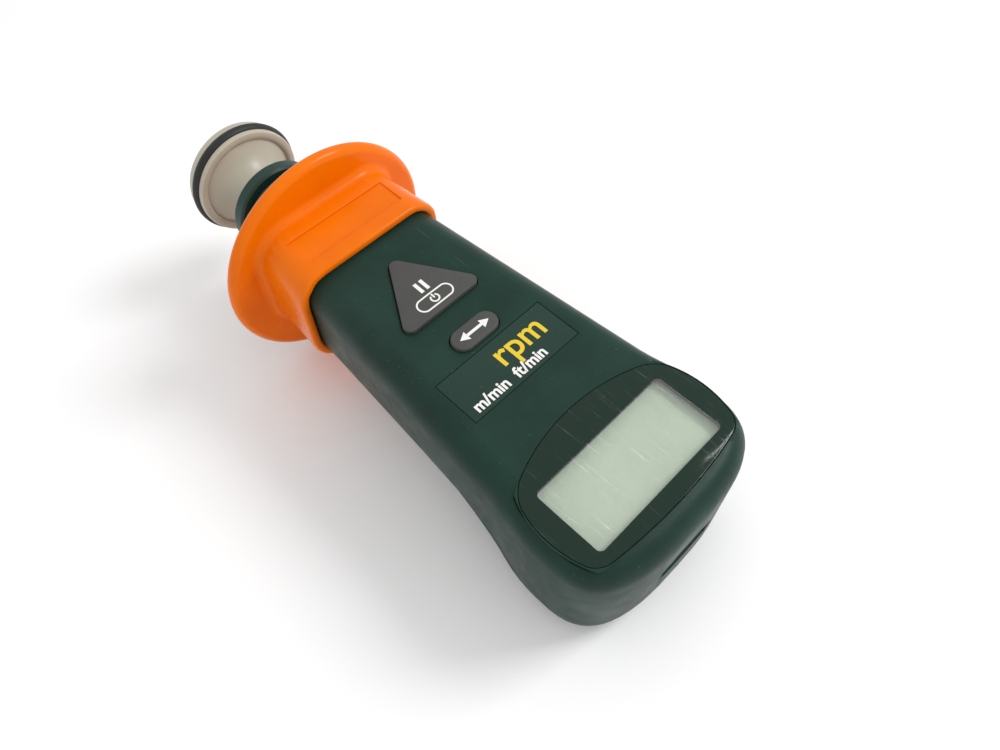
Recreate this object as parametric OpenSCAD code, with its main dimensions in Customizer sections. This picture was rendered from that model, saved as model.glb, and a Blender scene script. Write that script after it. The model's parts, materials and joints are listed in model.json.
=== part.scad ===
// Pocket contact tachometer with a surface-speed wheel.
// Modelled with the display face up and the measuring wheel towards +Y.
// Inside the modules, Y = 0 is the centre of the display and Z = 0 its face;
// in_frame() then moves each piece to the part's frame.

/* [Housing outline] */
// Width of the display head
head_w = 59; // [56:0.5:62]
// Length of the body from the display centre to its rear end
rear_len = 19.7; // [19:0.1:21]
// Width of the grip at the waist, just ahead of the head
waist_w = 52; // [49:0.5:54]
// Width of the neck at the guard
neck_w = 43; // [42:0.5:45]
// Length of the body from the display centre to its front wall
front_len = 107; // [104:0.5:110]
// Depth of the display head
head_depth = 39.5; // [39:0.25:42]
// Depth of the grip at the waist
waist_depth = 29; // [28:0.5:31]
// Depth of the neck at the front wall
neck_depth = 31; // [31:0.25:33]
// Radius of the soft edge round the display face
edge_r = 6.5; // [5:0.5:7.5]
// Radius of the soft edge round the underside
base_r = 9; // [7:0.5:9.5]
// Thickness of the housing walls
wall = 2; // [1.6:0.1:2.2]

/* [Seam] */
// Depth of the seam between the two shells along the grip
grip_seam = 22.5; // [21.5:0.25:23.5]
// Depth of the seam at the rear of the head
head_seam = 34; // [33:0.25:35]

/* [Display] */
// Width of the window in the display
view_w = 42; // [38:0.5:44]
// Length of the window in the display
view_l = 18.8; // [16:0.2:20]
// Thickness of the clear display lens
lens_t = 1.2; // [0.8:0.1:1.4]
// Thickness of the liquid crystal panel
lcd_t = 2.4; // [2:0.1:2.8]

/* [Keys] */
// Distance from the display centre to the rear edge of the triangular key
power_key_y = 59.5; // [58.5:0.25:61]
// Length of the triangular key along the body
power_key_l = 20.5; // [18:0.5:21.5]
// Width of the triangular key at its base
power_key_w = 24; // [22:0.5:26]
// Distance from the display centre to the pill-shaped key
unit_key_y = 49.3; // [48.5:0.1:50]
// Width of the pill-shaped key
unit_key_w = 14; // [12:0.5:15]
// Length of the pill-shaped key along the body
unit_key_l = 6.4; // [5.6:0.2:7]
// Height of the keys above the face
key_proud = 0.9; // [0.8:0.1:1.4]
// Travel of a key when pressed
key_travel = 0.6; // [0.3:0.1:0.7]
// Clearance round each key
key_gap = 0.3; // [0.2:0.05:0.4]

/* [Label] */
// Width of the label plate
label_w = 34.8; // [30:0.2:36]
// Length of the label plate along the body
label_l = 13.5; // [11:0.5:14]
// Thickness of the label plate
label_t = 0.4; // [0.3:0.1:0.6]

/* [Guard] */
// Distance from the display centre to the rear edge of the guard
guard_y = 88.8; // [87:0.2:91]
// Thickness of the guard's sleeve
guard_t = 2.5; // [2:0.1:3]
// Radius of the guard's disc
disc_r = 33.4; // [31:0.2:35]
// Thickness of the guard's disc
disc_t = 4.4; // [3.5:0.1:5]

/* [Nose and spindle] */
// Depth of the spindle axis below the display face
axis_depth = 18.5; // [18.25:0.05:18.75]
// Radius of the nose barrel
barrel_r = 11; // [10.6:0.1:11.2]
// Length of the nose barrel ahead of the front wall
barrel_l = 29.4; // [28:0.2:31]
// Radius of the collar at the tip of the nose
collar_r = 14.4; // [13.5:0.1:15]
// Length of the collar
collar_l = 4.1; // [3.6:0.1:4.6]
// Radius of the spindle
spindle_r = 2.5; // [2:0.1:2.8]
// Radius of the outer race of the bearings
bearing_r = 8; // [7:0.1:8.4]
// Width of a bearing
bearing_w = 5; // [4:0.1:5.4]
// Radius of the slotted encoder disc
encoder_r = 8.2; // [7.6:0.1:8.3]
// Number of slots in the encoder disc
encoder_slots = 12; // [8:2:20]

/* [Measuring wheel] */
// Radius of the tyre where it rolls on the surface
tyre_r = 17.9; // [17:0.1:18.5]
// Radius of the round section of the tyre
tyre_t = 1.7; // [1.4:0.05:1.9]
// Distance from the nose tip to the rear rim of the wheel
wheel_gap = 12.3; // [10:0.2:14]
// Width of the wheel between its rims
wheel_w = 7.4; // [6.6:0.1:8.4]

/* [Batteries] */
// Radius of a battery cell
cell_r = 5.25; // [5:0.05:5.3]
// Length of a battery cell
cell_l = 44.5; // [43:0.1:44.6]

/* [Hidden] */

$fn = 64;
big = 200;

// Clearances
fit = 0.02;
snug = 0.1;
loose = 0.3;

// Stations along the body
waist_y = 30;
neck_y = 84;
shoulder_y = 18;
belly_y = 7;
belly_end_y = 33;

// Where the part's frame lies: middle of the length, lowest point of the guard's disc
wheel_y = front_len + barrel_l + 1.4;
wheel_end_y = wheel_y + wheel_gap + wheel_w;
mid_y = (wheel_end_y - rear_len) / 2;
base_z = -axis_depth - disc_r;

// A smooth step from 0 at a to 1 at b
function ramp(v, a, b) = let (t = min(1, max(0, (v - a) / (b - a)))) t * t * (3 - 2 * t);
function blend(a, b, t) = a + (b - a) * t;

// Half width of the body at y: the grip tapers to the neck, and the head swells out of it
function grip_half(y) = waist_w / 2 - (y - waist_y) * (waist_w - neck_w) / 2 / (neck_y - waist_y);
function body_half(y) = blend(head_w / 2, grip_half(y), ramp(y, 0, shoulder_y));

// Depth of the underside at y, and of the seam between the shells
function body_depth(y) = blend(
    blend(head_depth, waist_depth, ramp(y, belly_y, belly_end_y)),
    neck_depth, ramp(y, belly_end_y, front_len));
function seam_depth(y) = blend(head_seam, grip_seam, ramp(y, -6, 26))
    + 1.5 * ramp(y, waist_y, neck_y);

// Right half of the body's outline in plan, from the middle of the rear end to the front wall
head_power = 3;
function rear_point(a) = [
    head_w / 2 * pow(sin(a), 2 / head_power),
    -rear_len * pow(cos(a), 2 / head_power)
];
function side_stations() = concat([for (y = [3 : 3 : shoulder_y]) y], [24, waist_y, 46, 65, neck_y, 96, front_len]);
half_outline = concat(
    [for (a = [0 : 6 : 90]) rear_point(a)],
    [for (y = side_stations()) [body_half(y), y]]
);
half_count = len(half_outline);

// Inward direction of the outline at point i
function inward(i) =
    i == 0 ? [0, 1] :
    let (
        b = half_outline[min(i + 1, half_count - 1)],
        a = half_outline[i - 1],
        d = (b - a) / norm(b - a)
    ) [-d[1], d[0]];

// Levels of the skin: how far each lies inside the outline, and how deep.
// Depths above 0 count from the face, and depths below 0 from the underside.
function levels(off) = concat(
    [for (a = [90 : -18 : 0])
        [off + (edge_r - off) * (1 - cos(a)), off + (edge_r - off) * (1 - sin(a)), 0]],
    [for (a = [0 : 18 : 90])
        [off + (base_r - off) * (1 - cos(a)), off + (base_r - off) * (1 - sin(a)), 1]]
);
function skin_point(i, level, side, off) =
    let (
        p = half_outline[i] + level[0] * inward(i),
        y = i == half_count - 1 ? front_len - off : p[1],
        z = level[2] == 0 ? -level[1] : level[1] - body_depth(half_outline[i][1])
    ) [side * max(0, p[0]), y, z];

// The body's outer form, or with off above 0 the cavity that far inside it
module skin(off = 0) {
    lv = levels(off);
    n = half_count;
    ring = 2 * n - 1;
    points = [for (level = lv) each concat(
        [for (i = [0 : n - 1]) skin_point(i, level, 1, off)],
        [for (i = [n - 1 : -1 : 1]) skin_point(i, level, -1, off)]
    )];
    walls = [for (j = [0 : len(lv) - 2]) for (i = [0 : ring - 1])
        let (a = j * ring + i, b = j * ring + (i + 1) % ring)
        each [[a, b, b + ring], [a, b + ring, a + ring]]
    ];
    function left(i) = ring - i;
    last = (len(lv) - 1) * ring;
    top = concat([[0, left(1), 1]],
        [for (i = [1 : n - 2]) each [[i, left(i), left(i + 1)], [i, left(i + 1), i + 1]]]);
    base = concat([[last, last + 1, last + left(1)]],
        [for (i = [1 : n - 2])
            each [[last + i, last + i + 1, last + left(i + 1)], [last + i, last + left(i + 1), last + left(i)]]]);
    polyhedron(points = points, faces = concat(walls, top, base), convexity = 6);
}

// Everything above the seam, lowered by drop
module above_seam(drop = 0) {
    stations = [for (y = [-rear_len - 10 : 6 : front_len + 17]) y];
    rotate([90, 0, 90])
        translate([0, 0, -big / 2])
            linear_extrude(big)
                polygon(concat(
                    [for (y = stations) [y, -seam_depth(y) - drop]],
                    [[front_len + 20, -grip_seam - 1.5 - drop], [front_len + 20, 20], [-rear_len - 10, 20]]
                ));
}

// Moves a piece from the display's frame to the part's frame
module in_frame() {
    translate([0, -mid_y, -base_z])
        children();
}

// A solid of revolution about the spindle axis, with profile points [radius, y]
module on_axis(y = 0) {
    translate([0, y, -axis_depth])
        rotate([-90, 0, 0])
            children();
}

module tube(r, hole, l) {
    difference() {
        cylinder(r = r, h = l);
        translate([0, 0, -1])
            cylinder(r = hole, h = l + 2);
    }
}

// Places along the nose, as distances from the display centre
groove_y = front_len - wall;
spigot_y = front_len + barrel_l - 4.8;
spigot_end = front_len + barrel_l - 0.2;
collar_y = wheel_y - collar_l;
rear_bearing_y = groove_y - 3.5;
front_bearing_y = spigot_end - 0.7 - bearing_w;
disc_y = front_len + 2.2;
rim_y = wheel_y + wheel_gap;
hub_y = wheel_y - 0.9;
spindle_end = rim_y + 2;
clip_y = rear_bearing_y - 0.8;
encoder_y = groove_y - 11;
spindle_y = encoder_y - 1.5;

// Radii along the nose
spigot_r = barrel_r - 1.1;
groove_r = barrel_r - 1.2;
shoulder_r = spindle_r + 1;
hub_r = spindle_r + 3.7;

// Depths inside the housing
panel_z = 2.6;
board_z = panel_z + lcd_t + 2;
board_t = 1.6;
board_base = board_z + board_t;
roof_z = 13;
roof_t = 1.2;
cell_top = roof_z + roof_t + 0.3;
cell_z1 = cell_top + cell_r;
cell_z2 = cell_z1 + 2 * cell_r + 0.5;
door_z = cell_z2 + cell_r + 0.7;

// Places of the screws: [x, y]
shell_screws = [[-20, 21], [20, 21], [-14.6, 83], [14.6, 83]];
board_screw_places = [[-21.5, 14.3], [21.5, 14.3], [-12, 74], [12, 74]];
shell_boss_r = 3.2;
board_post_r = 2;
screw_seat = 3;

// Battery bay
bay_y = -0.4;
bay_x = cell_l / 2 + 0.75;
bay_half_l = 2 * cell_r + 0.3;
bay_wall = 1.2;
door_half_w = bay_x;
door_rear = bay_y - bay_half_l;
door_front = bay_y + bay_half_l;
tab_half = 8;
tab_top = 22;
notch_z = 18.3;
hook_x = 12;
hook_w = 8;
hook_reach = 2.5;
hook_t = 0.8;
hook_top = body_depth(door_front) - 4.05;

module at_places(places) {
    for (p = places)
        translate([p[0], p[1], 0])
            children();
}

// Outline of the display lens: four shallow arcs with soft corners
module lens_outline(grow = 0) {
    offset(r = 1.2 + grow, $fn = 32)
        offset(delta = -1.2)
            intersection() {
                translate([0, view_l / 2 + 8.9 - 53])
                    circle(r = 53, $fn = 160);
                translate([0, 140 - view_l / 2 - 4.4])
                    circle(r = 140, $fn = 360);
                for (side = [-1, 1])
                    translate([side * (view_w / 2 + 5.8 - 27), 0.4])
                        circle(r = 27, $fn = 90);
            }
}

// Rounded triangle of the upper key, pointing to the nose
module triangle_key_outline(grow = 0) {
    round_r = 2;
    hull()
        for (p = [[-1, 0], [1, 0], [0, 1]])
            translate([
                p[0] * (power_key_w / 2 - round_r),
                power_key_y + (p[1] == 0 ? round_r : power_key_l - round_r)
            ])
                circle(r = round_r + grow, $fn = 32);
}

// Pill outline of the lower key
module pill_key_outline(grow = 0) {
    for (side = [-1, 1])
        translate([side * (unit_key_w - unit_key_l) / 2, unit_key_y])
            circle(r = unit_key_l / 2 + grow);
    translate([-(unit_key_w - unit_key_l) / 2, unit_key_y - unit_key_l / 2 - grow])
        square([unit_key_w - unit_key_l, unit_key_l + 2 * grow]);
}

// A straight block between two depths below the face, under the outline given
module plate(top, base) {
    translate([0, 0, -base])
        linear_extrude(base - top)
            children();
}

module front_housing() {
    color("#2c443e")
        in_frame()
            difference() {
                union() {
                    intersection() {
                        difference() {
                            skin();
                            skin(wall);
                        }
                        above_seam();
                    }
                    for (p = shell_screws)
                        translate([p[0], p[1], -seam_depth(p[1]) + loose])
                            cylinder(r = shell_boss_r, h = seam_depth(p[1]) - loose - wall + 0.5);
                    at_places(board_screw_places)
                        plate(wall - 0.5, board_z)
                            circle(r = board_post_r);
                }
                plate(-1, lens_t + snug)
                    lens_outline(snug);
                plate(-1, wall + 1)
                    square([view_w + 1, view_l + 1], center = true);
                plate(-1, wall + 1)
                    triangle_key_outline(key_gap);
                plate(-1, wall + 1)
                    pill_key_outline(key_gap);
                plate(-1, label_t + 0.05)
                    translate([0, label_y])
                        square([label_w + 0.4, label_l + 0.4], center = true);
                for (p = shell_screws)
                    translate([p[0], p[1], -big + 10 - seam_depth(p[1])])
                        cylinder(r = 1.25, h = big);
                at_places(board_screw_places)
                    plate(board_z - 3.5, board_z + 1)
                        circle(r = 1.05);
                on_axis(groove_y - 1)
                    cylinder(r = groove_r + snug, h = wall + 2);
                end_notch();
            }
}

label_y = unit_key_y - unit_key_l / 2 - 1.6 - label_l / 2;

// Thumb notch in the rear end: an eye-shaped opening over the slot for the door's tab
module end_notch() {
    eye_r = 14;
    translate([0, -rear_len + 4, 0])
        rotate([90, 0, 0])
            intersection() {
                translate([0, -notch_z - eye_r + 4, 0])
                    cylinder(r = eye_r, h = 8);
                translate([0, -notch_z + eye_r - 4, 0])
                    cylinder(r = eye_r, h = 8);
            }
    translate([-tab_half - loose, -rear_len - 2, -big])
        cube([2 * (tab_half + loose), 6, big - notch_z]);
}

// Space of the battery door, with room round it
module door_space(room = 0) {
    translate([-door_half_w - room, door_rear - room, -big])
        cube([2 * (door_half_w + room), door_front - door_rear + 2 * room, big - door_z + room]);
    translate([-tab_half - room, -rear_len - 2, -big])
        cube([2 * (tab_half + room), door_rear + rear_len + 2, big - tab_top + room]);
}

module rear_housing() {
    color("#2a403b")
        in_frame()
            difference() {
                union() {
                    difference() {
                        skin();
                        skin(wall);
                        above_seam();
                    }
                    intersection() {
                        for (p = shell_screws)
                            translate([p[0], p[1], -big - seam_depth(p[1]) + loose])
                                cylinder(r = shell_boss_r + 1, h = big);
                        skin();
                    }
                }
                for (p = shell_screws) {
                    translate([p[0], p[1], -big - seam_depth(p[1]) - screw_seat])
                        cylinder(r = 2.8, h = big);
                    translate([p[0], p[1], -big])
                        cylinder(r = 1.35, h = big);
                }
                on_axis(groove_y - 1)
                    cylinder(r = groove_r + snug, h = wall + 2);
                door_space(loose);
            }
}

module display_lens() {
    color("#8fa39b", 0.5)
        in_frame()
            plate(0, lens_t)
                lens_outline();
}

module lcd_panel() {
    color("#b8c3b2")
        in_frame()
            plate(panel_z, panel_z + lcd_t)
                square([view_w + 2.4, view_l + 2.2], center = true);
}

module lcd_frame() {
    color("#d8d8d2")
        in_frame()
            difference() {
                plate(panel_z + 0.8, board_z)
                    square([view_w + 4.8, view_l + 4.6], center = true);
                plate(0, panel_z + lcd_t)
                    square([view_w + 2.4, view_l + 2.2], center = true);
                plate(0, board_z + 1)
                    square([view_w - 2, view_l - 3.4], center = true);
                lcd_connector_space(0.05);
            }
}

module lcd_connector_space(room = 0) {
    for (side = [-1, 1])
        plate(panel_z + lcd_t, board_z)
            translate([0, side * (view_l / 2 - 0.2)])
                square([view_w - 3 + 2 * room, 1.8 + 2 * room], center = true);
}

module lcd_connectors() {
    color("#e08aa0")
        in_frame()
            lcd_connector_space();
}

module label_plate() {
    color("#1f3a31")
        in_frame()
            plate(0.05, label_t + 0.05)
                translate([0, label_y])
                    square([label_w, label_l], center = true);
}

key_flange = 0.9;
flange_z = wall + 0.1;
flange_t = 1;
stem_end = flange_z + flange_t + 1;
plunger_end = stem_end + 1.4;

module power_key() {
    color("#4c4c4a")
        in_frame() {
            plate(-key_proud, flange_z + 0.5)
                triangle_key_outline();
            plate(flange_z, flange_z + flange_t)
                triangle_key_outline(key_gap + key_flange);
            plate(flange_z + flange_t, stem_end)
                translate([0, power_switch_y])
                    circle(r = 1.8);
        }
}

module unit_key() {
    color("#4c4c4a")
        in_frame() {
            plate(-key_proud, flange_z + 0.5)
                pill_key_outline();
            plate(flange_z, flange_z + flange_t)
                pill_key_outline(key_gap + key_flange);
            plate(flange_z + flange_t, stem_end)
                translate([0, unit_key_y])
                    circle(r = 1.8);
        }
}

power_switch_y = power_key_y + power_key_l * 0.4;

module plunger(y) {
    color("#9a2a20")
        in_frame()
            plate(stem_end, plunger_end)
                translate([0, y])
                    circle(r = 1.2);
}

module power_plunger() {
    plunger(power_switch_y);
}

module unit_plunger() {
    plunger(unit_key_y);
}

module key_switches() {
    color("#33373a")
        in_frame()
            for (y = [power_switch_y, unit_key_y])
                translate([0, y])
                    difference() {
                        plate(stem_end + key_travel + 0.15, board_z)
                            square(6, center = true);
                        plate(0, plunger_end + key_travel + 0.1)
                            circle(r = 1.2 + snug);
                    }
}

module circuit_board() {
    color("#1d6b3a")
        in_frame()
            difference() {
                plate(board_z, board_base)
                    union() {
                        translate([-24, -11.6])
                            square([48, 28]);
                        translate([-15, 16])
                            square([30, 61]);
                        translate([-9.5, 77])
                            square([19, groove_y - 6 - 77]);
                    }
                at_places(board_screw_places)
                    plate(0, big)
                        circle(r = 1.1);
            }
}

module board_screws() {
    color("#b9bcc0")
        in_frame()
            at_places(board_screw_places) {
                plate(board_z - 2.5, board_base)
                    circle(r = 1);
                plate(board_base, board_base + 1.2)
                    circle(r = 1.9);
            }
}

module processor_chip() {
    color("#202225")
        in_frame()
            translate([0, 30]) {
                plate(board_base + 0.15, board_base + 1.7)
                    square(10, center = true);
                for (side = [-1, 1])
                    for (i = [-5 : 5])
                        plate(board_base, board_base + 0.9)
                            translate([side * 5.6, i * 0.8])
                                square([1.6, 0.35], center = true);
            }
}

module crystal() {
    color("#c4c6c8")
        in_frame()
            plate(board_base, board_base + 2.6)
                translate([0, 42])
                    pill(8, 3.6);
}

module pill(l, w) {
    for (side = [-1, 1])
        translate([side * (l - w) / 2, 0])
            circle(d = w);
    square([l - w, w], center = true);
}

// The sensor hangs from the board and straddles the upper edge of the encoder disc
module optical_sensor() {
    reach = 3.4;
    foot = -axis_depth + encoder_r - reach;
    slot = 2.2;
    color("#17181a")
        in_frame()
            difference() {
                translate([-5, encoder_y - 4.2, foot])
                    cube([10, 9.2, -board_base - foot]);
                translate([-6, encoder_y + 0.4 - slot / 2, foot - 1])
                    cube([12, slot, reach + 1.4]);
            }
}

module spindle() {
    color("#b9bcc0")
        in_frame() {
            on_axis(spindle_y)
                cylinder(r = spindle_r, h = spindle_end - spindle_y);
            on_axis(rear_bearing_y + bearing_w)
                cylinder(r = shoulder_r, h = front_bearing_y - rear_bearing_y - bearing_w);
        }
}

module encoder_disc() {
    color("#3a3c40")
        in_frame()
            on_axis(encoder_y)
                difference() {
                    tube(encoder_r, spindle_r, 0.8);
                    for (i = [0 : encoder_slots - 1])
                        rotate([0, 0, i * 360 / encoder_slots])
                            translate([encoder_r - 3.2, -0.5, -1])
                                cube([2.4, 1, 3]);
                }
}

module disc_hub() {
    color("#c9b26a")
        in_frame()
            on_axis(encoder_y + 0.8)
                tube(spindle_r + 1.7, spindle_r, clip_y - encoder_y - 0.8 - 1.5);
}

module spindle_clip() {
    color("#8c9094")
        in_frame()
            on_axis(clip_y)
                difference() {
                    tube(spindle_r + 1.5, spindle_r, 0.7);
                    translate([0, -0.8, -1])
                        cube([spindle_r + 3, 1.6, 3]);
                }
}

// Ball bearing: the races and shields as one ring with a shallow groove in each face
module bearing(y) {
    color("#c2c5c9")
        in_frame()
            on_axis(y)
                rotate_extrude()
                    difference() {
                        translate([spindle_r + fit, 0])
                            square([bearing_r - spindle_r - fit, bearing_w]);
                        for (z = [-1, bearing_w - 0.4])
                            translate([spindle_r + 1.3, z])
                                square([bearing_r - spindle_r - 2.6, 1.4]);
                    }
}

module rear_bearing() {
    bearing(rear_bearing_y);
}

module front_bearing() {
    bearing(front_bearing_y);
}

module bearing_clip() {
    color("#8c9094")
        in_frame()
            on_axis(front_bearing_y + bearing_w)
                difference() {
                    tube(bearing_r, bearing_r - 2, spigot_end - front_bearing_y - bearing_w);
                    translate([0, -1, -1])
                        cube([bearing_r + 1, 2, 4]);
                }
}

module nose_barrel() {
    color("#24433c")
        in_frame()
            difference() {
                union() {
                    on_axis(rear_bearing_y)
                        cylinder(r = barrel_r - 0.7, h = groove_y - rear_bearing_y - snug);
                    on_axis(groove_y - snug)
                        cylinder(r = groove_r, h = wall + 2 * snug);
                    on_axis(front_len + snug)
                        cylinder(r = barrel_r, h = spigot_y - front_len - snug);
                    on_axis(spigot_y)
                        cylinder(r = spigot_r, h = spigot_end - spigot_y);
                }
                on_axis(rear_bearing_y - 1)
                    cylinder(r = bearing_r + fit, h = bearing_w + 1);
                on_axis(rear_bearing_y)
                    cylinder(r = bearing_r - 1, h = big / 2);
                on_axis(front_bearing_y)
                    cylinder(r = bearing_r + fit, h = big / 2);
            }
}

module nose_collar() {
    edge = 0.6;
    color("#20403a")
        in_frame()
            on_axis(collar_y)
                rotate_extrude()
                    polygon([
                        [spigot_r + snug, 0],
                        [collar_r - edge, 0],
                        [collar_r, edge],
                        [collar_r, collar_l - edge],
                        [collar_r - edge, collar_l],
                        [hub_r + 0.4, collar_l],
                        [hub_r + 0.4, spigot_end - collar_y + snug],
                        [spigot_r + snug, spigot_end - collar_y + snug]
                    ]);
}

module guard() {
    rim = disc_t / 2;
    color("#ff6f0f")
        in_frame()
            difference() {
                union() {
                    intersection() {
                        skin(-guard_t - snug);
                        translate([-big / 2, guard_y, -big / 2])
                            cube([big, big, big]);
                    }
                    on_axis(disc_y)
                        rotate_extrude() {
                            square([disc_r - rim, disc_t]);
                            translate([disc_r - rim, rim])
                                circle(r = rim);
                        }
                }
                skin(-snug);
                on_axis(front_len - 1)
                    cylinder(r = barrel_r + loose, h = big);
                translate([-16, guard_y + 5, guard_t + snug - 0.6])
                    cube([32, 9, 5]);
            }
}

module measuring_wheel() {
    turn = 8;
    front_y = rim_y + wheel_w;
    rim_r = tyre_r - 1;
    flare = [for (i = [0 : turn])
        [hub_r + (rim_r - hub_r) * pow(i / turn, 1.7), wheel_y + 0.8 + (wheel_gap - 0.8) * i / turn]];
    color("#b0a898")
        in_frame()
            difference() {
                on_axis()
                    rotate_extrude()
                        difference() {
                            polygon(concat(
                                [[0, hub_y], [hub_r, hub_y]],
                                flare,
                                [
                                    [rim_r, rim_y + 0.8],
                                    [rim_r - 0.5, rim_y + 1.4],
                                    [rim_r - 0.5, front_y - 1.6],
                                    [rim_r - 0.7, front_y - 0.6],
                                    [rim_r - 1.3, front_y],
                                    [rim_r - 3.2, front_y],
                                    [rim_r - 4, front_y - 2],
                                    [4.6, front_y - 2],
                                    [4.2, front_y - 1],
                                    [0, front_y - 1]
                                ]
                            ));
                            translate([tyre_r - tyre_t, rim_y + 3.3])
                                circle(r = tyre_t + fit);
                        }
                on_axis(hub_y - 1)
                    cylinder(r = spindle_r + fit, h = spindle_end - hub_y + 1 + loose);
            }
}

module wheel_tyre() {
    color("#2a2a2e")
        in_frame()
            on_axis(rim_y + 3.3)
                rotate_extrude()
                    translate([tyre_r - tyre_t, 0])
                        circle(r = tyre_t);
}

module battery_tray() {
    color("#26302d")
        in_frame()
            difference() {
                intersection() {
                    translate([-bay_x - bay_wall, bay_y - bay_half_l - bay_wall, -door_z + loose])
                        cube([2 * (bay_x + bay_wall), 2 * (bay_half_l + bay_wall), door_z - loose - roof_z]);
                    skin(wall + snug);
                }
                translate([-bay_x, bay_y - bay_half_l, -big])
                    cube([2 * bay_x, 2 * bay_half_l, big - roof_z - roof_t]);
                for (side = [-1, 1])
                    translate([side * hook_x - hook_w / 2 - loose, door_front - 1, -big])
                        cube([hook_w + 2 * loose, bay_wall + 2, big - hook_top + 1.5]);
            }
}

// The door turns about its front edge, where two hooks reach over the rear shell's floor
module battery_door() {
    color("#2a403b")
        in_frame()
            difference() {
                union() {
                    intersection() {
                        skin();
                        door_space();
                    }
                    for (side = [-1, 1])
                        translate([side * hook_x - hook_w / 2, door_front - 1.5, -door_z - 0.2]) {
                            cube([hook_w, 1.2, door_z + 0.2 - hook_top]);
                            translate([0, 0, door_z + 0.2 - hook_top - hook_t])
                                cube([hook_w, hook_reach, hook_t]);
                        }
                }
                intersection() {
                    translate([-big / 2, door_rear - big, -door_z])
                        cube([big, big + 1, big]);
                    skin(wall);
                }
            }
}

module door_latch() {
    color("#5d514b")
        in_frame()
            translate([-tab_half + 0.8, -rear_len + 0.8, -tab_top])
                cube([2 * tab_half - 1.6, 1.8, tab_top - notch_z + 1.7]);
}

function cell_places() = [for (z = [cell_z1, cell_z2]) for (side = [-1, 1]) [bay_y + side * (cell_r + 0.1), z]];

module battery_cell(index) {
    place = cell_places()[index];
    way = index == 1 || index == 2 ? -1 : 1;
    nub = 1.2;
    color("#4f6d86")
        in_frame()
            translate([0, place[0], -place[1]])
                rotate([0, 90 * way, 0])
                    translate([0, 0, -cell_l / 2]) {
                        cylinder(r = cell_r, h = cell_l - nub);
                        cylinder(r = 1.8, h = cell_l);
                    }
}

module battery_cell_1() {
    battery_cell(0);
}

module battery_cell_2() {
    battery_cell(1);
}

module battery_cell_3() {
    battery_cell(2);
}

module battery_cell_4() {
    battery_cell(3);
}

module contact_plates() {
    color("#c9cbcc")
        in_frame()
            for (place = cell_places())
                for (side = [-1, 1])
                    translate([side * (bay_x - 0.2), place[0], -place[1]])
                        cube([0.4, 8, 8], center = true);
}

module contact_springs() {
    color("#d5d7d8")
        in_frame()
            for (i = [0 : 3]) {
                place = cell_places()[i];
                way = i == 1 || i == 2 ? 1 : -1;
                translate([way * (bay_x - 0.4), place[0], -place[1]])
                    rotate([0, -90 * way, 0])
                        cylinder(r1 = 3, r2 = 2, h = bay_x - 0.4 - cell_l / 2);
            }
}

module housing_screws() {
    color("#9a9da1")
        in_frame()
            for (p = shell_screws)
                translate([p[0], p[1], -seam_depth(p[1]) - screw_seat]) {
                    difference() {
                        translate([0, 0, -1.8])
                            cylinder(r = 2.5, h = 1.8);
                        translate([-0.4, -2, -2.3])
                            cube([0.8, 4, 1.3]);
                        translate([-2, -0.4, -2.3])
                            cube([4, 0.8, 1.3]);
                    }
                    cylinder(r = 1.15, h = 11);
                }
}

front_housing();
rear_housing();
display_lens();
lcd_panel();
lcd_frame();
lcd_connectors();
label_plate();
power_key();
unit_key();
power_plunger();
unit_plunger();
key_switches();
circuit_board();
processor_chip();
crystal();
board_screws();
optical_sensor();
spindle();
encoder_disc();
disc_hub();
spindle_clip();
rear_bearing();
front_bearing();
bearing_clip();
nose_barrel();
nose_collar();
guard();
measuring_wheel();
wheel_tyre();
battery_tray();
battery_door();
door_latch();
contact_plates();
contact_springs();
battery_cell_1();
battery_cell_2();
battery_cell_3();
battery_cell_4();
housing_screws();
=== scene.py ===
"""Hand-held contact tachometer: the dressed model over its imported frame.

Each sub-assembly is a class that takes its place from the frame, builds or softens its
pieces and gives every surface a finish. Lengths are metres unless a name ends in _mm.
"""

from __future__ import annotations

import json
import logging
import math
from dataclasses import dataclass
from enum import Enum
from typing import Callable

import bpy
from mathutils import Matrix, Vector
from mathutils.bvhtree import BVHTree

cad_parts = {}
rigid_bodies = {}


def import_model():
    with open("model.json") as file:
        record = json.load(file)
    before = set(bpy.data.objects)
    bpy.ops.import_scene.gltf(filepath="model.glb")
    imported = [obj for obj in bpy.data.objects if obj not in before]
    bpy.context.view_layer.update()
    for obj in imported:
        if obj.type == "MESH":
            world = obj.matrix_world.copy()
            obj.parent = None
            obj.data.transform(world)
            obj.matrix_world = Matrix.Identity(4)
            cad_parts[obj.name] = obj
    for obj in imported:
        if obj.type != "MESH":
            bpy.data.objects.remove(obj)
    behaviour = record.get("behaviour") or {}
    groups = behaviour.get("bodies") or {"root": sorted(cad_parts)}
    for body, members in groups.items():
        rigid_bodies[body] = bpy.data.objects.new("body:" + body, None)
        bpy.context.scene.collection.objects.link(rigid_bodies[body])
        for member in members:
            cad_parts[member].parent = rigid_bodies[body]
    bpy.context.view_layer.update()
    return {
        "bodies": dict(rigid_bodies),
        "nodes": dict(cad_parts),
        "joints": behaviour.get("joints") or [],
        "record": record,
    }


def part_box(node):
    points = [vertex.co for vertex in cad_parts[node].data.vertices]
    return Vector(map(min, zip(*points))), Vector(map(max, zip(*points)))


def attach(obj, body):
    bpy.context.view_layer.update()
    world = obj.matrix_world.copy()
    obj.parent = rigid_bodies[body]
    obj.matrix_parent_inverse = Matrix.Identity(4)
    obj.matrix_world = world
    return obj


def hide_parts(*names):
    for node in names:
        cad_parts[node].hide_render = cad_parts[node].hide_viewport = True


LOG = logging.getLogger("tachometer")
MM = 0.001

# Place of the display's centre on the face, from which the body's sizes are measured
DISPLAY_MM = Vector((0.0, -68.9, 51.9))

# Depth of the spindle's axis below the face
AXIS_DEPTH_MM = 18.5

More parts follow.
